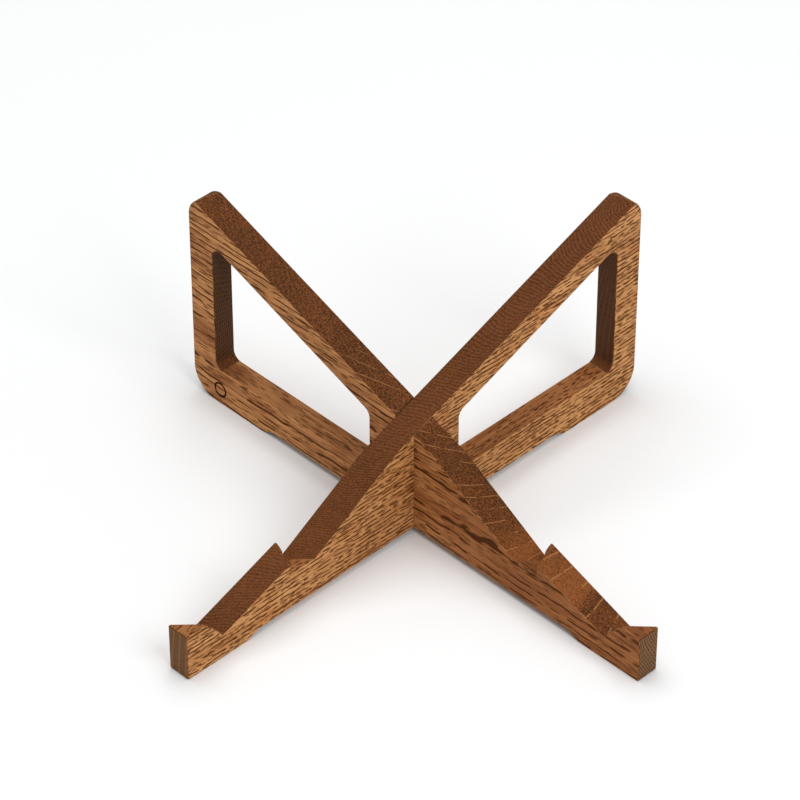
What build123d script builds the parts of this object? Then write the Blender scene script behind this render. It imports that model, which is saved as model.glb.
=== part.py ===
"""Two-board tablet stand: a pair of oak boards on edge, crossed at right angles in a cross-lap joint.

Millimetres, +Z up. The origin is on the table, in the middle of the stand's outline seen from above,
and the device faces -Y. Stations along a board are measured from its front end, heights from the table
and depths from the origin towards the rear. A board's inner face is the one that looks forward.
"""

import os
from math import cos, radians, sin, tan

from build123d import *

# ---- each board ---------------------------------------------------------------------------------
BOARD_LENGTH = 303.4
BOARD_HEIGHT = 121.0       # top of the blank that the profile is cut from
BOARD_THICKNESS = 12.5
SPREAD_ANGLE = 90.0        # angle between the two boards, seen from above
CROSSING_STATION = 153.65  # the boards' middle planes cross here
EDGE_ROUND = 0.6           # sanded edge all round
REAR_TOP_ROUND = 11.8
REAR_FOOT_ROUND = 15.0

# ---- feet and the relief between them -----------------------------------------------------------
FRONT_FOOT = 38.0          # length of the front foot on the table
TOE_ROUND = 1.0            # lower front corner
REAR_FOOT = 50.0           # length of the rear foot, its rounded corner included
RELIEF_HEIGHT = 3.2
RELIEF_RUN = 7.5           # the step up from a foot takes this far
RELIEF_ROUND = 7.0

# ---- front hook and the long rest above it ------------------------------------------------------
END_HEIGHT = 26.3          # top of the square front end
HOOK_HEIGHT = 27.6         # top of the hook, at its ridge
HOOK_STATION = 12.1        # where the ridge meets the board's inner face
HOOK_BULGE_RADIUS = 75.0   # the hook's back wall bulges slightly
VALLEY_STATION = 23.5      # bottom of the front valley, on the inner face
VALLEY_HEIGHT = 14.1
REST_ANGLE = 28.25         # slope of the rest for a laptop or large tablet

# ---- lip and notch for a small tablet -----------------------------------------------------------
LIP_STATION = 66.1         # upright back wall of the lip
LIP_NOSE = 2.3             # the lip's tip reaches this far back over its wall
LIP_NOSE_FOOT = 30.8       # the wall starts to lean over here
LIP_NOSE_TOP = 33.4        # and is upright again here
LIP_NOSE_ROUND = 4.0
NOTCH_HEIGHT = 24.0        # the floor that the tablet's lower edge stands on
NOTCH_DEPTH = 11.1         # floor from the lip's wall to the steep rest, square to the device
STEEP_ANGLE = 40.5         # slope of the rest for a small tablet

# ---- rear loop ----------------------------------------------------------------------------------
LOOP_FRONT = 178.0         # station of the opening's front wall
LOOP_REAR_STRIP = 16.5
LOOP_FLOOR = 21.4
LOOP_TOP_BAR = 15.4        # upright depth of the bar over the opening, on the inner face
LOOP_CORNER = 5.0

# ---- cross-lap joint ----------------------------------------------------------------------------
LAP_HEIGHT = 33.0          # the two slots meet here, about halfway up the boards
LAP_SIDE_CLEARANCE = 0.15  # each side of a board in the other's slot
LAP_END_CLEARANCE = 0.15   # above and below LAP_HEIGHT

# ---- maker's ring, engraved in the right board's inner face -------------------------------------
RING_DIAMETER = 8.6
RING_LINE = 0.9
RING_DEPTH = 0.35
RING_FROM_REAR = 19.0      # ring's middle, from the board's rear end
RING_HEIGHT = 9.0

CUT_REACH = 400.0          # cutting tools run well past the wood
SMOOTH_JOIN = 10.0         # faces meeting at less than this angle have no edge to sand

half_thickness = BOARD_THICKNESS / 2
half_spread = radians(SPREAD_ANGLE / 2)
along_depth = cos(half_spread)    # how far back one millimetre along a board goes
across_depth = sin(half_spread)   # how far back one millimetre across a board goes
rear_reach = BOARD_LENGTH - CROSSING_STATION
crossing_depth = (CROSSING_STATION - rear_reach) * along_depth / 2


def depth_at(station, across=-half_thickness):
    """Depth of a point on a board; the default is on its inner face."""
    return crossing_depth + (station - CROSSING_STATION) * along_depth + across * across_depth


def rest_height(depth):
    """Height of the long rest at a depth."""
    return VALLEY_HEIGHT + (depth - depth_at(VALLEY_STATION)) * tan(radians(REST_ANGLE))


def at_crossing(turn):
    """Place at the crossing, with X along a board of this turn."""
    return Pos(0, crossing_depth, 0) * Rot(0, 0, turn)


def side_outline():
    """Outer outline of a board before the rests are cut, in stations and heights."""
    rear_foot_start = BOARD_LENGTH - REAR_FOOT
    hook_slope = (HOOK_HEIGHT - END_HEIGHT) / HOOK_STATION
    shoulder_height = END_HEIGHT + hook_slope * VALLEY_STATION
    corners = [
        ((0, 0), TOE_ROUND),
        ((FRONT_FOOT, 0), RELIEF_ROUND),
        ((FRONT_FOOT + RELIEF_RUN, RELIEF_HEIGHT), RELIEF_ROUND),
        ((rear_foot_start - RELIEF_RUN, RELIEF_HEIGHT), RELIEF_ROUND),
        ((rear_foot_start, 0), RELIEF_ROUND),
        ((BOARD_LENGTH, 0), REAR_FOOT_ROUND),
        ((BOARD_LENGTH, BOARD_HEIGHT), REAR_TOP_ROUND),
        ((VALLEY_STATION, BOARD_HEIGHT), 0),
        ((VALLEY_STATION, shoulder_height), 0),
        ((0, END_HEIGHT), 0),
    ]
    return rounded_face(corners)


def top_height(station):
    """Top of a board on its inner face: the long rest, or the blank's own top where that is lower."""
    return min(rest_height(depth_at(station)), BOARD_HEIGHT)


def loop_outline():
    """Opening of the rear loop: its top runs under the board's top."""
    rear = BOARD_LENGTH - LOOP_REAR_STRIP
    corners = [
        ((LOOP_FRONT, LOOP_FLOOR), LOOP_CORNER),
        ((rear, LOOP_FLOOR), LOOP_CORNER),
        ((rear, top_height(rear) - LOOP_TOP_BAR), LOOP_CORNER),
        ((LOOP_FRONT, top_height(LOOP_FRONT) - LOOP_TOP_BAR), LOOP_CORNER),
    ]
    return rounded_face(corners)


def rounded_face(corners):
    """A face in the XZ plane from ((x, z), corner radius) pairs."""
    points = [point for point, _ in corners]
    radii = [radius for _, radius in corners]
    path = FilletPolyline(*points, radius=radii, close=True)
    return Plane.XZ * make_face(path.edges())


def behind_lip():
    """Space behind the lip's back wall and its nose, cut square through the board."""
    nose = LIP_STATION + LIP_NOSE
    corners = [
        ((LIP_STATION, NOTCH_HEIGHT), 0),
        ((LIP_STATION, LIP_NOSE_FOOT), LIP_NOSE_ROUND),
        ((nose, LIP_NOSE_TOP), LIP_NOSE_ROUND),
        ((nose, CUT_REACH), 0),
        ((CUT_REACH, CUT_REACH), 0),
        ((CUT_REACH, NOTCH_HEIGHT), 0),
    ]
    return rounded_face(corners)


def device_prism(face):
    """Carry a face in depths and heights along X, the direction of the device's lower edge."""
    return extrude(Plane.YZ * face, CUT_REACH, both=True)


def long_rest_cut():
    """Everything above the hook's back wall, the front valley and the long rest."""
    ridge = (depth_at(HOOK_STATION), HOOK_HEIGHT)
    valley = (depth_at(VALLEY_STATION), VALLEY_HEIGHT)
    rear = (CUT_REACH, rest_height(CUT_REACH))
    back_wall = RadiusArc(ridge, valley, HOOK_BULGE_RADIUS)
    above = Polyline(ridge, (ridge[0], CUT_REACH), (CUT_REACH, CUT_REACH), rear, valley)
    return device_prism(make_face(back_wall.edges() + above.edges()))


def notch_cut(place):
    """The notch behind the lip: a level floor, then the steep rest for a small tablet."""
    floor_end = depth_at(LIP_STATION) + NOTCH_DEPTH
    top = NOTCH_HEIGHT + CUT_REACH * tan(radians(STEEP_ANGLE))
    seat = Polyline((-CUT_REACH, NOTCH_HEIGHT), (floor_end, NOTCH_HEIGHT), (floor_end + CUT_REACH, top),
                    (-CUT_REACH, top), close=True)
    behind = place * extrude(behind_lip(), CUT_REACH, both=True)
    return behind & device_prism(make_face(seat.edges()))


def lap_slot(other_turn, opens_up):
    """Slot for the other board, open to this board's top or to its underside."""
    width = BOARD_THICKNESS + 2 * LAP_SIDE_CLEARANCE
    if opens_up:
        middle = LAP_HEIGHT - LAP_END_CLEARANCE + CUT_REACH / 2
    else:
        middle = LAP_HEIGHT + LAP_END_CLEARANCE - CUT_REACH / 2
    return at_crossing(other_turn) * Pos(0, 0, middle) * Box(CUT_REACH, width, CUT_REACH)


def sharp_edges(board):
    """Outward edges whose two faces meet at more than a slight angle."""
    found = []
    for edge in board.edges():
        middle = edge @ 0.5
        sides = [face for face in board.faces() if any(edge.is_same(other) for other in face.edges())]
        bend = sides[0].normal_at(middle).get_angle(sides[-1].normal_at(middle))
        if bend > SMOOTH_JOIN and not edge.is_interior:
            found.append(edge)
    return found


def make_board(turn, other_turn, slot_opens_up):
    """One board, turned about the crossing so that its front end points forward."""
    place = at_crossing(turn) * Pos(-CROSSING_STATION, 0, 0)
    board = place * extrude(side_outline(), half_thickness, both=True)
    board -= place * extrude(loop_outline(), CUT_REACH, both=True)
    board -= long_rest_cut()
    board -= notch_cut(place)
    board = fillet(sharp_edges(board), EDGE_ROUND)
    return board - lap_slot(other_turn, slot_opens_up)


def engraved_ring(turn):
    """Shallow ring groove in the inner face of the board that runs to the rear left."""
    place = at_crossing(turn) * Pos(rear_reach - RING_FROM_REAR, half_thickness, RING_HEIGHT) * Rot(90, 0, 0)
    outer = Cylinder(RING_DIAMETER / 2, 2 * RING_DEPTH)
    inner = Cylinder(RING_DIAMETER / 2 - RING_LINE, 2 * RING_DEPTH)
    return place * (outer - inner)


left_turn = 90 - SPREAD_ANGLE / 2
right_turn = 90 + SPREAD_ANGLE / 2

boards = {
    "left_board": make_board(left_turn, right_turn, slot_opens_up=False),
    "right_board": make_board(right_turn, left_turn, slot_opens_up=True) - engraved_ring(right_turn),
}

os.makedirs("parts", exist_ok=True)
for name, board in boards.items():
    export_step(board, os.path.join("parts", name + ".step"))
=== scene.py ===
"""Crossed-board tablet stand in oiled oak: the wood of its two boards, a white table and soft light."""

from math import cos, radians, sin

import bpy
import numpy as np
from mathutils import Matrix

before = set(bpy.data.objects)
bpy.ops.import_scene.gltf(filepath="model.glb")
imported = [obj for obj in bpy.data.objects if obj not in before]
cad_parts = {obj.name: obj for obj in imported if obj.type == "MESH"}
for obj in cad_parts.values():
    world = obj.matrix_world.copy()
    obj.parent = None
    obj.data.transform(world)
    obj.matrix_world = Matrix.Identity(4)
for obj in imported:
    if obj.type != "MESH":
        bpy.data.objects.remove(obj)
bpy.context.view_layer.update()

# ---- the stand, in metres -----------------------------------------------------------------------
MILLIMETRE = 0.001
CROSSING = (0.0, 0.00138, 0.0)      # the boards' middle planes cross over this point
LEFT_TURN = radians(45)             # each board's direction, from its front end to its rear end
RIGHT_TURN = radians(135)

# ---- camera -------------------------------------------------------------------------------------
CAMERA_AIM = (-0.0072, 0.0927, 0.0)
CAMERA_DISTANCE = 2.0807
CAMERA_DIP = radians(39.62)         # looks down by this angle
CAMERA_SWING = radians(0.32)
CAMERA_LENS = 186.75
CAMERA_REACH = 50.0
SENSOR_WIDTH = 36.0

# ---- light and table ----------------------------------------------------------------------------
SKY_WHITE = (1, 1, 1, 1)
SKY_STRENGTH = 0.47
KEY_BOX = {"place": (1.1, -1.3, 1.7), "aim": (0, 0, 0.05), "size": 1.2, "power": 20}
TOP_BOX = {"place": (-0.2, 0.4, 2.2), "aim": (0, 0, 0), "size": 2.0, "power": 30}
TABLE_SIZE = 9.0
TABLE_STEPS = 24
TABLE_WHITE = (0.875, 0.882, 0.885, 1.0)
TABLE_SHINE = 0.1
TABLE_ROUGHNESS = (0.75, 0.95)
TABLE_PATCH_DETAIL = 2.0

# ---- places along a board where its colour changes, in millimetres from the crossing; the valley and the loop walls get painted shade ---
RAMP_START = (-55.0, -80.0)
# the ramp darkens towards the hook's valley: partly painted shade under the hook wall, partly the wood's
# own darker tone
VALLEY_SHADE = (-110.0, -117.0)
RAYS_FADE = (60.0, 20.0)
LOOP_WALLS_FROM = (0.0, 15.0)
LOOP_WALLS_TO = (142.0, 137.0)
# painted shade, multiplied onto the loop's upright walls
LOOP_WALL_SHADE = (0.50, 0.45, 0.42, 1.0)

# ---- streaks in the wood: length and width in millimetres, detail, seed --------------------------
SLOW_BEND = (95.0, 16.0, 1.5, 0.0)  # bends whole rings
WAVE = (9.0, 7.0, 0.0, 41.0)        # makes the rings' edges wavy
CROWD = (40.0, 6.0, 1.0, 7.3)       # where pores and rays stand closer together
CLOUD = (38.0, 17.0, 1.0, 9.4)      # large patches of colour
BAND = (70.0, 5.0, 1.0, 1.9)        # light and dark bands of long grain
THREAD = (34.0, 1.15, 1.0, 15.0)    # bundles of fibres
FIBRE = (14.0, 0.40, 2.0, 5.0)      # single fibres
GRIT = (1.0, 0.52, 1.0, 21.0)       # fibres seen on end
ARRIS_PATCHES = (4.0, 3.0, 1.0, 31.0)         # where an arris is paler, partly with wear and partly with a painted highlight
WAVE_HEIGHT = 1.3                   # millimetres

# ---- rings, as shares of a ring's width from its early wood to its late wood ---------------------
LATE_WOOD = (0.45, 0.95)
FINE_BAND_START = (0.10, 0.50)
FINE_BAND_END = (1.0, 0.70)

# ---- pores --------------------------------------------------------------------------------------
ROW_START = (0.0, 0.10)             # a row of pores starts over this share of its ring
ROW_FADE = 0.12                     # and fades over this share
ROW_BREAKS = (0.5, 3.1)             # detail and seed of the noise that breaks a row into dashes
ROW_BREAK_EDGE = 0.08
ROW_CROWDING = 0.30
SINGLE_SCATTER = 0.85
SINGLE_CROWDING = 0.22
SINGLE_EDGE = (-0.04, 0.06)

# ---- long grain: how much each pattern lightens it -----------------------------------------------
LONG_TONE = 0.60
BAND_WEIGHT = 1.1
THREAD_WEIGHT = 1.5
FIBRE_WEIGHT = 1.0
LATE_WEIGHT = -0.10
RED_CLOUD = (0.50, 0.75)

# ---- end grain ----------------------------------------------------------------------------------
CLOUD_WEIGHT = 0.45
RAY_WAVER = (0.15, 0.50)
RAY_BREAKS = (0.44, 0.50)
RAY_LINE = (0.034, 0.010)           # half the width of a ray line, as a share of the space between two
CUT_RAY_LINE = (0.16, 0.05)
CUT_RAY_WEIGHT = 0.70
CUT_GRIT_WEIGHT = 1.3
CUT_DEEPER = 0.08
CUT_SHARE = 0.85

# ---- how a surface lies to the grain: sizes of the normal's parts --------------------------------
END_GRAIN = (0.06, 0.30)
CUT_ACROSS = (0.80, 0.97)
LEVEL_TOP = (0.55, 0.95)
ARRIS_FROM_TOP = (0.64, 0.78)
ARRIS_TO_FACE = (0.99, 0.93)

# ---- arris wear and painted highlight, oil and relief -------------------------------------------
# the arrises are painted paler: partly wear, partly a painted highlight along the edges
WEAR_AND_HIGHLIGHT_STEP = (0.40, 0.62)
WEAR_AND_HIGHLIGHT_SHARE = 0.70
OIL_SHINE = 0.08
OIL_ROUGHNESS = (0.50, 0.66)
PORE_ROUGHNESS = 0.2
FIBRE_RELIEF = 0.35
GRIT_RELIEF = 0.5
RELIEF_STRENGTH = 0.55
RELIEF_DEPTH = 0.12 * MILLIMETRE

# ---- the engraved ring's burnt groove ------------------------------------------------------------
BURNT_EDGE = (0.75, 0.50)           # from the middle of the line, as shares of its width
BURNT_DEPTH = (-1.2, -0.8)          # millimetres from the board's face


class NodeSheet:
    """The shader nodes of one material, added and joined so that a pattern reads as a formula."""

    def __init__(self, name):
        self.material = bpy.data.materials.new(name)
        self.material.use_nodes = True
        self.tree = self.material.node_tree
        self.tree.nodes.clear()

    def node(self, kind, **settings):
        made = self.tree.nodes.new(kind)
        for setting, value in settings.items():
            setattr(made, setting, value)
        return made

    def feed(self, socket, value):
        if isinstance(value, bpy.types.NodeSocket):
            self.tree.links.new(value, socket)
        else:
            socket.default_value = value

    def sum(self, operation, *values):
        made = self.node("ShaderNodeMath", operation=operation)
        for socket, value in zip(made.inputs, values):
            self.feed(socket, value)
        return made.outputs[0]

    def step(self, value, low, high):
        """0 below low, 1 above high and a smooth step between; low may be the larger."""
        made = self.node("ShaderNodeMapRange", interpolation_type="SMOOTHSTEP", clamp=True)
        self.feed(made.inputs["Value"], value)
        self.feed(made.inputs["From Min"], low)
        self.feed(made.inputs["From Max"], high)
        return made.outputs["Result"]

    def spread(self, value, low, high):
        """Carries 0..1 to low..high."""
        return self.sum("MULTIPLY_ADD", value, high - low, low)

    def swing(self, pattern, weight, base):
        """Base plus weight times how far the pattern is above a half."""
        return self.sum("MULTIPLY_ADD", self.sum("SUBTRACT", pattern, 0.5), weight, base)

    def point(self, x, y, z):
        made = self.node("ShaderNodeCombineXYZ")
        for socket, value in zip(made.inputs, (x, y, z)):
            self.feed(socket, value)
        return made.outputs[0]

    def parts(self, vector):
        made = self.node("ShaderNodeSeparateXYZ")
        self.feed(made.inputs[0], vector)
        return made.outputs

    def noise(self, vector, detail):
        made = self.node("ShaderNodeTexNoise")
        self.feed(made.inputs["Vector"], vector)
        made.inputs["Scale"].default_value = 1.0
        made.inputs["Detail"].default_value = detail
        return made.outputs[0]

    def scatter(self, value):
        """One random value for each whole number."""
        made = self.node("ShaderNodeTexWhiteNoise", noise_dimensions="1D")
        self.feed(made.inputs["W"], value)
        return made.outputs["Value"]

    def tint(self, share, first, second, blend="MIX"):
        """First colour at share 0, second at share 1; blend MULTIPLY stains the first with the second."""
        made = self.node("ShaderNodeMix", data_type="RGBA", blend_type=blend, clamp_factor=True)
        colours = [socket for socket in made.inputs if socket.type == "RGBA"]
        self.feed(made.inputs[0], share)
        self.feed(colours[0], first)
        self.feed(colours[1], second)
        return next(socket for socket in made.outputs if socket.type == "RGBA")

    def surface(self, shader):
        """Joins a shader to the material's output."""
        output = self.node("ShaderNodeOutputMaterial")
        self.feed(output.inputs["Surface"], shader.outputs[0])
        return self.material


def board_space(sheet, turn):
    """Along, across and up a board, in millimetres from the crossing, and the surface's normal there."""
    place = sheet.node("ShaderNodeTexCoord")
    mappings = []
    for output in ("Object", "Normal"):
        mapping = sheet.node("ShaderNodeMapping", vector_type="TEXTURE")
        sheet.feed(mapping.inputs["Vector"], place.outputs[output])
        mapping.inputs["Rotation"].default_value = (0, 0, turn)
        mappings.append(mapping)
    mappings[0].inputs["Location"].default_value = CROSSING
    mappings[0].inputs["Scale"].default_value = (MILLIMETRE,) * 3
    return [sheet.parts(mapping.outputs[0]) for mapping in mappings]


def streaks(sheet, space, length, width, detail, seed):
    """Noise drawn out along the grain: along over length, and across and up over width."""
    along, across, up = space
    place = sheet.point(
        sheet.sum("MULTIPLY_ADD", along, 1 / length, seed),
        sheet.sum("MULTIPLY_ADD", across, 1 / width, seed),
        sheet.sum("DIVIDE", up, width),
    )
    return sheet.noise(place, detail)


def heart_offsets(sheet, space, heart):
    """How far across and up a point lies from the tree's heart, a line along the board."""
    _, across, up = space
    heart_across, heart_up = heart
    return sheet.sum("SUBTRACT", across, heart_across), sheet.sum("SUBTRACT", up, heart_up)


def heart_distance(sheet, space, heart, waver):
    """Root of the squared offsets from the heart, plus waver times the slow bend."""
    out, rise = heart_offsets(sheet, space, heart)
    square = sheet.sum("MULTIPLY_ADD", out, out, sheet.sum("MULTIPLY", rise, rise))
    return sheet.sum("MULTIPLY_ADD", streaks(sheet, space, *SLOW_BEND), waver, sheet.sum("SQRT", square))


def heart_direction(sheet, space, heart):
    """Angle about the heart, from across towards up."""
    out, rise = heart_offsets(sheet, space, heart)
    return sheet.sum("ARCTAN2", rise, out)


def share_of_ring(sheet, distance, width):
    """0 to 1 through each ring: the fraction left of the distance over the ring's width."""
    return sheet.sum("FRACT", sheet.sum("DIVIDE", distance, width))


def pore_rows(sheet, space, ring, crowd, level_top, row):
    """Dark dashes in rows that follow the rings.

    A row is the early part of a ring, broken into dashes by noise drawn out along the grain. A level
    top lies within one ring and shows no rows.
    """
    faded = sheet.step(ring, row["share"] + ROW_FADE, row["share"])
    early = sheet.sum("MULTIPLY", sheet.step(ring, *ROW_START), faded)
    breaks = streaks(sheet, space, row["dash"], row["width"], *ROW_BREAKS)
    unbroken = sheet.swing(crowd, ROW_CROWDING, breaks)
    dashes = sheet.sum("MULTIPLY", early, sheet.step(unbroken, row["gap"], row["gap"] + ROW_BREAK_EDGE))
    return sheet.sum("MULTIPLY", dashes, sheet.spread(level_top, row["depth"], 0.0))


def single_pores(sheet, space, crowd, single):
    """Single dark dashes between the rows, one in each cell of a stretched Voronoi pattern.

    A dash is where the distance from its cell's own point is less than the dashes' reach.
    """
    along, across, up = space
    cells = sheet.node("ShaderNodeTexVoronoi")
    cells.inputs["Scale"].default_value = 1.0
    cells.inputs["Randomness"].default_value = SINGLE_SCATTER
    place = sheet.point(
        sheet.sum("DIVIDE", along, single["length"]),
        sheet.sum("DIVIDE", across, single["width"]),
        sheet.sum("DIVIDE", up, single["width"]),
    )
    sheet.feed(cells.inputs["Vector"], place)
    reach = sheet.swing(crowd, SINGLE_CROWDING, single["reach"])
    dashes = sheet.step(sheet.sum("SUBTRACT", reach, cells.outputs["Distance"]), *SINGLE_EDGE)
    return sheet.sum("MULTIPLY", dashes, single["depth"])


def long_grain_colour(sheet, space, late, pores, cloud, fibre, wood):
    """Wood cut along the fibres: bands, threads and fibres from dark to light, redder clouds, pores."""
    tone = sheet.swing(streaks(sheet, space, *BAND), BAND_WEIGHT, LONG_TONE)
    tone = sheet.swing(streaks(sheet, space, *THREAD), THREAD_WEIGHT, tone)
    tone = sheet.swing(fibre, FIBRE_WEIGHT, tone)
    tone = sheet.sum("MULTIPLY_ADD", late, LATE_WEIGHT, tone)
    colour = sheet.tint(tone, wood["dark"], wood["light"])
    front = sheet.step(space[0], *wood["redder_front"])
    redder = sheet.sum("MAXIMUM", sheet.step(cloud, *RED_CLOUD), front)
    colour = sheet.tint(redder, colour, wood["red"], "MULTIPLY")
    return sheet.tint(pores, colour, wood["pore"])


def ray_place(sheet, angle, count, cloud):
    """Rays passed on the way round the heart: count to a radian, wavering with the clouds."""
    return sheet.sum("MULTIPLY_ADD", angle, count, sheet.spread(cloud, *RAY_WAVER))


def ray_lines(sheet, place, line):
    """Thin lines that point at the heart, one halfway between each two whole numbers of place."""
    off_line = sheet.sum("ABSOLUTE", sheet.sum("SUBTRACT", sheet.sum("FRACT", place), 0.5))
    return sheet.step(off_line, *line)


def ray_patches(sheet, place):
    """One random value for each space between two ray lines."""
    return sheet.scatter(sheet.sum("FLOOR", sheet.sum("ADD", place, 0.5)))


def ramp_colour(sheet, along, angle, fine_late, crowd, cloud, grit, wood):
    """Wood cut at a slant to the fibres: dark with oil, with fine rings, pale rays and their patches, and
    darker towards the valley, partly painted shade and partly the wood's own tone.
    """
    place = ray_place(sheet, angle, wood["rays"], cloud)
    patch = sheet.sum("MULTIPLY_ADD", ray_patches(sheet, place), wood["patch"], wood["warm"])
    tone = sheet.sum("MULTIPLY", patch, sheet.step(along, *RAMP_START))
    # painted shade, partly the wood's own tone: darker towards the hook's valley
    tone = sheet.sum("MULTIPLY_ADD", sheet.step(along, *VALLEY_SHADE), -wood["valley_shade"], tone)
    tone = sheet.sum("MULTIPLY_ADD", cloud, CLOUD_WEIGHT, tone)
    tone = sheet.swing(grit, wood["grit"], tone)
    tone = sheet.sum("MULTIPLY_ADD", fine_late, wood["ring_show"], tone)
    colour = sheet.tint(tone, wood["end_dark"], wood["end_light"])
    ray = sheet.sum("MULTIPLY", ray_lines(sheet, place, RAY_LINE), sheet.step(crowd, *RAY_BREAKS))
    ray = sheet.sum("MULTIPLY", ray, sheet.step(along, *RAYS_FADE))
    return sheet.tint(sheet.sum("MULTIPLY", ray, wood["ray_show"]), colour, wood["ray"])


def sawn_colour(sheet, along, angle, fine_late, cloud, grit, wood):
    """Wood cut square across the fibres: rings and close rays, with painted shade darkening the loop's
    upright walls.
    """
    ray = ray_lines(sheet, ray_place(sheet, angle, wood["cut_rays"], cloud), CUT_RAY_LINE)
    tone = sheet.swing(grit, CUT_GRIT_WEIGHT, sheet.sum("SUBTRACT", fine_late, CUT_DEEPER))
    tone = sheet.sum("MULTIPLY_ADD", ray, CUT_RAY_WEIGHT, tone)
    colour = sheet.tint(tone, wood["cut_dark"], wood["cut_light"])
    # painted shade on the loop's upright walls
    inside = sheet.sum("MULTIPLY", sheet.step(along, *LOOP_WALLS_FROM), sheet.step(along, *LOOP_WALLS_TO))
    return sheet.tint(inside, colour, LOOP_WALL_SHADE, "MULTIPLY")


def burnt_ring(sheet, space, colour, wood):
    """The engraved ring's groove is burnt dark.

    It is a circle line in the board's inner face: the root of the squared distances along and up from
    the ring's middle, near to the radius of the line's own middle.
    """
    along, across, up = space
    mark = wood["engraved_ring"]
    off_along = sheet.sum("SUBTRACT", along, mark["along"])
    off_up = sheet.sum("SUBTRACT", up, mark["up"])
    square = sheet.sum("MULTIPLY_ADD", off_along, off_along, sheet.sum("MULTIPLY", off_up, off_up))
    line_radius = (mark["size"] - mark["line"]) / 2
    off_line = sheet.sum("ABSOLUTE", sheet.sum("SUBTRACT", sheet.sum("SQRT", square), line_radius))
    burnt = sheet.step(off_line, *(share * mark["line"] for share in BURNT_EDGE))
    near_face = sheet.step(across, *(mark["face"] + depth for depth in BURNT_DEPTH))
    return sheet.tint(sheet.sum("MULTIPLY", burnt, near_face), colour, wood["burnt"])


def oak(name, turn, wood):
    """Oiled oak cut from the solid: rings, pores and rays run through the board, darker on end grain."""
    sheet = NodeSheet(name)
    space, (n_along, n_across, n_up) = board_space(sheet, turn)
    crowd = streaks(sheet, space, *CROWD)
    cloud = streaks(sheet, space, *CLOUD)
    fibre = streaks(sheet, space, *FIBRE)
    grit = streaks(sheet, space, *GRIT)

    # each ring starts with early wood, where the pores stand, and ends in a dense late band
    distance = heart_distance(sheet, space, wood["heart"], wood["waver"])
    distance = sheet.sum("MULTIPLY_ADD", streaks(sheet, space, *WAVE), WAVE_HEIGHT, distance)
    ring = share_of_ring(sheet, distance, wood["ring"])
    late = sheet.step(ring, *LATE_WOOD)
    fine_distance = heart_distance(sheet, space, wood["ray_heart"], wood["waver"])
    fine_ring = share_of_ring(sheet, fine_distance, wood["fine_ring"])
    band_start = sheet.step(fine_ring, *FINE_BAND_START)
    fine_late = sheet.sum("MULTIPLY", band_start, sheet.step(fine_ring, *FINE_BAND_END))
    angle = heart_direction(sheet, space, wood["ray_heart"])

    # 0 where the fibres lie in the surface, 1 where they stand out of it
    end_share = sheet.step(sheet.sum("ABSOLUTE", n_along), *END_GRAIN)
    cut_across = sheet.step(sheet.sum("ABSOLUTE", n_along), *CUT_ACROSS)
    level_top = sheet.sum("MULTIPLY", sheet.step(n_up, *LEVEL_TOP), sheet.sum("SUBTRACT", 1.0, end_share))

    rows = pore_rows(sheet, space, ring, crowd, level_top, wood["row"])
    pores = sheet.sum("MAXIMUM", rows, single_pores(sheet, space, crowd, wood["single"]))
    long_grain = long_grain_colour(sheet, space, late, pores, cloud, fibre, wood)
    ramp = ramp_colour(sheet, space[0], angle, fine_late, crowd, cloud, grit, wood)
    sawn = sawn_colour(sheet, space[0], angle, fine_late, cloud, grit, wood)
    end_grain = sheet.tint(sheet.sum("MULTIPLY", cut_across, CUT_SHARE), ramp, sawn)
    colour = sheet.tint(end_share, long_grain, end_grain)

    # level tops are darkened as painted shade, by how much they face up, and the sanded arrises of the
    # faces are painted paler, partly as wear and partly as a painted highlight
    colour = sheet.tint(level_top, colour, wood["level_top_shade"], "MULTIPLY")
    side = sheet.sum("ABSOLUTE", n_across)
    arris = sheet.sum("MULTIPLY", sheet.step(side, *ARRIS_FROM_TOP), sheet.step(side, *ARRIS_TO_FACE))
    wear_and_highlight = sheet.sum("MULTIPLY", arris, sheet.step(streaks(sheet, space, *ARRIS_PATCHES), *WEAR_AND_HIGHLIGHT_STEP))
    colour = sheet.tint(sheet.sum("MULTIPLY", wear_and_highlight, WEAR_AND_HIGHLIGHT_SHARE), colour, wood["arris_wear_and_highlight"])
    if "engraved_ring" in wood:
        colour = burnt_ring(sheet, space, colour, wood)

    # the pores are open grooves, and the fibres leave a faint ribbing under the oil
    relief = sheet.sum("MULTIPLY_ADD", fibre, FIBRE_RELIEF, sheet.sum("MULTIPLY", pores, -1.0))
    relief = sheet.sum("MULTIPLY_ADD", grit, sheet.sum("MULTIPLY", end_share, GRIT_RELIEF), relief)
    bump = sheet.node("ShaderNodeBump")
    bump.inputs["Strength"].default_value = RELIEF_STRENGTH
    bump.inputs["Distance"].default_value = RELIEF_DEPTH
    sheet.feed(bump.inputs["Height"], relief)

    roughness = sheet.sum("MULTIPLY_ADD", pores, PORE_ROUGHNESS, sheet.spread(fibre, *OIL_ROUGHNESS))
    shader = sheet.node("ShaderNodeBsdfPrincipled")
    shader.inputs["Specular IOR Level"].default_value = OIL_SHINE
    sheet.feed(shader.inputs["Base Color"], colour)
    sheet.feed(shader.inputs["Roughness"], roughness)
    sheet.feed(shader.inputs["Normal"], bump.outputs[0])
    return sheet.surface(shader)


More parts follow.
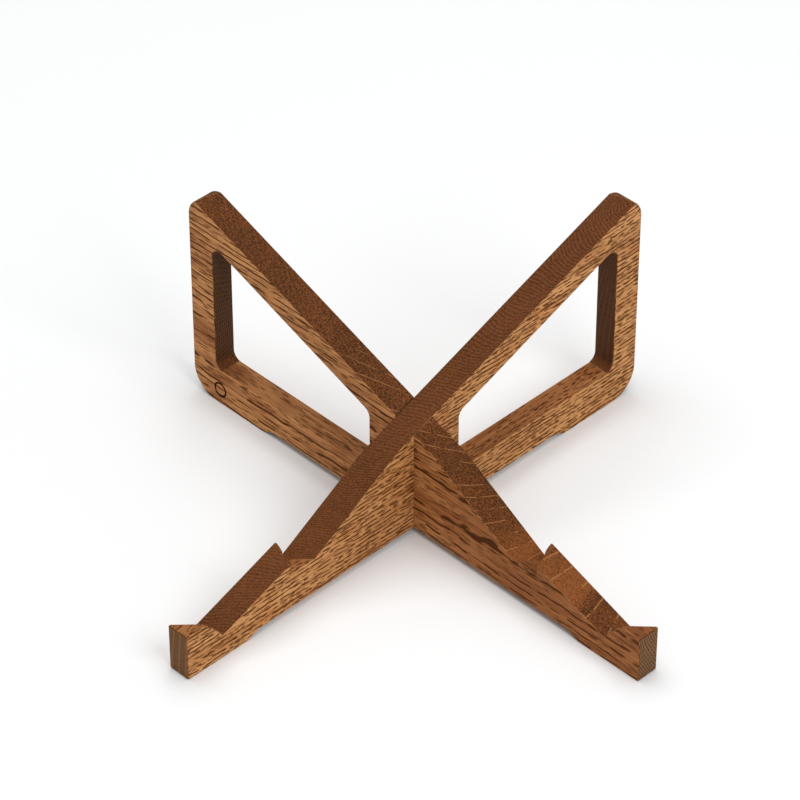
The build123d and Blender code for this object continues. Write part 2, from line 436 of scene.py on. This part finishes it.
# Each board's wood. The hearts are across and up from the crossing, and all lengths are in millimetres.
LEFT_OAK = {
    "heart": (-10.0, 130.0),
    "ray_heart": (-10.0, 130.0),
    "waver": 5.0,
    "ring": 2.4,
    "fine_ring": 0.72,
    "row": {"share": 0.33, "dash": 4.5, "width": 1.6, "gap": 0.40, "depth": 1.0},
    "single": {"length": 5.0, "width": 0.90, "reach": 0.37, "depth": 0.90},
    "rays": 10.0,
    "cut_rays": 26.0,
    "patch": 0.15,
    "warm": 0.10,
    "valley_shade": 0.12,
    "ring_show": 0.50,
    "grit": 2.5,
    "ray_show": 0.10,
    "redder_front": (-400.0, -401.0),  # past the board's front end, so nowhere on it
    "light": (0.70, 0.345, 0.132, 1),
    "dark": (0.35, 0.136, 0.040, 1),
    "red": (0.92, 0.82, 0.74, 1),
    "pore": (0.105, 0.032, 0.005, 1),
    "end_dark": (0.066, 0.020, 0.005, 1),
    "end_light": (0.165, 0.055, 0.016, 1),
    "cut_dark": (0.075, 0.030, 0.009, 1),
    "cut_light": (0.280, 0.132, 0.054, 1),
    "ray": (0.30, 0.14, 0.055, 1),
    # paler arrises: partly wear, partly a painted highlight
    "arris_wear_and_highlight": (0.56, 0.27, 0.105, 1),
    # painted shade multiplied onto level tops
    "level_top_shade": (0.50, 0.41, 0.36, 1),
}
RIGHT_OAK = {
    "heart": (-19.6, 32.0),
    "ray_heart": (-65.0, 46.4),
    "waver": 5.0,
    "ring": 3.3,
    "fine_ring": 1.3,
    "row": {"share": 0.22, "dash": 10.0, "width": 2.0, "gap": 0.38, "depth": 1.0},
    "single": {"length": 9.0, "width": 0.90, "reach": 0.34, "depth": 0.85},
    "rays": 18.0,
    "cut_rays": 26.0,
    "patch": 0.60,
    "warm": 0.22,
    "valley_shade": 0.55,
    "ring_show": 0.10,
    "grit": 2.4,
    "ray_show": 0.75,
    "redder_front": (20.0, -80.0),
    "light": (0.64, 0.295, 0.106, 1),
    "dark": (0.31, 0.112, 0.031, 1),
    "red": (0.64, 0.52, 0.47, 1),
    "pore": (0.080, 0.024, 0.004, 1),
    "end_dark": (0.050, 0.017, 0.004, 1),
    "end_light": (0.255, 0.080, 0.021, 1),
    "cut_dark": (0.070, 0.032, 0.011, 1),
    "cut_light": (0.230, 0.118, 0.052, 1),
    "ray": (0.42, 0.19, 0.07, 1),
    # paler arrises: partly wear, partly a painted highlight
    "arris_wear_and_highlight": (0.52, 0.24, 0.09, 1),
    # painted shade multiplied onto level tops
    "level_top_shade": (0.64, 0.62, 0.62, 1),
    "burnt": (0.012, 0.005, 0.003, 1),
    "engraved_ring": {"along": 130.75, "up": 9.0, "size": 8.6, "line": 0.9, "face": 6.25},
}


def table_top():
    """A level square sheet: x and y run over the same even steps, and z is 0 everywhere."""
    steps = np.linspace(-TABLE_SIZE / 2, TABLE_SIZE / 2, TABLE_STEPS + 1)
    x, y = np.meshgrid(steps, steps)
    corners = np.stack([x, y, np.zeros_like(x)], axis=-1).reshape(-1, 3)
    row = TABLE_STEPS + 1
    first = (np.arange(TABLE_STEPS)[:, None] * row + np.arange(TABLE_STEPS)).reshape(-1)
    faces = np.stack([first, first + 1, first + row + 1, first + row], axis=-1)
    mesh = bpy.data.meshes.new("table_top")
    mesh.from_pydata(corners.tolist(), [], faces.tolist())
    table = bpy.data.objects.new("table_top", mesh)
    bpy.context.scene.collection.objects.link(table)
    mesh.materials.append(table_paint())


def table_paint():
    """Matt white board, a little rougher in places."""
    sheet = NodeSheet("white_table")
    place = sheet.node("ShaderNodeTexCoord")
    patches = sheet.noise(place.outputs["Object"], TABLE_PATCH_DETAIL)
    shader = sheet.node("ShaderNodeBsdfPrincipled")
    shader.inputs["Base Color"].default_value = TABLE_WHITE
    shader.inputs["Specular IOR Level"].default_value = TABLE_SHINE
    sheet.feed(shader.inputs["Roughness"], sheet.spread(patches, *TABLE_ROUGHNESS))
    return sheet.surface(shader)


def set_camera():
    """The camera stands back from its aim point by its distance, at its dip and swing."""
    camera = bpy.data.objects.new("camera", bpy.data.cameras.new("camera"))
    bpy.context.scene.collection.objects.link(camera)
    level = CAMERA_DISTANCE * cos(CAMERA_DIP)
    camera.location = (
        CAMERA_AIM[0] + level * sin(CAMERA_SWING),
        CAMERA_AIM[1] - level * cos(CAMERA_SWING),
        CAMERA_AIM[2] + CAMERA_DISTANCE * sin(CAMERA_DIP),
    )
    camera.rotation_euler = (radians(90) - CAMERA_DIP, 0, CAMERA_SWING)
    camera.data.sensor_width = SENSOR_WIDTH
    camera.data.lens = CAMERA_LENS
    camera.data.clip_end = CAMERA_REACH
    bpy.context.scene.camera = camera


def soft_box(name, place, aim, size, power):
    """A square area light that looks from its place to its aim."""
    light = bpy.data.lights.new(name, "AREA")
    light.size = size
    light.energy = power
    box = bpy.data.objects.new(name, light)
    bpy.context.scene.collection.objects.link(box)
    box.location = place
    way = np.array(aim) - np.array(place)
    box.rotation_euler = (np.arctan2(np.hypot(way[0], way[1]), -way[2]), 0, np.arctan2(-way[0], way[1]))


def set_light():
    """A white sky, a soft key from the front right and a larger, softer box overhead."""
    world = bpy.data.worlds.new("white_sky")
    world.use_nodes = True
    sky = world.node_tree.nodes["Background"]
    sky.inputs["Color"].default_value = SKY_WHITE
    sky.inputs["Strength"].default_value = SKY_STRENGTH
    bpy.context.scene.world = world
    soft_box("key_box", **KEY_BOX)
    soft_box("top_box", **TOP_BOX)
    bpy.context.scene.view_settings.view_transform = "Standard"


set_camera()
set_light()
table_top()
for board, turn, wood in (("left_board", LEFT_TURN, LEFT_OAK), ("right_board", RIGHT_TURN, RIGHT_OAK)):
    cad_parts[board].data.materials.clear()
    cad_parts[board].data.materials.append(oak(board + "_oak", turn, wood))
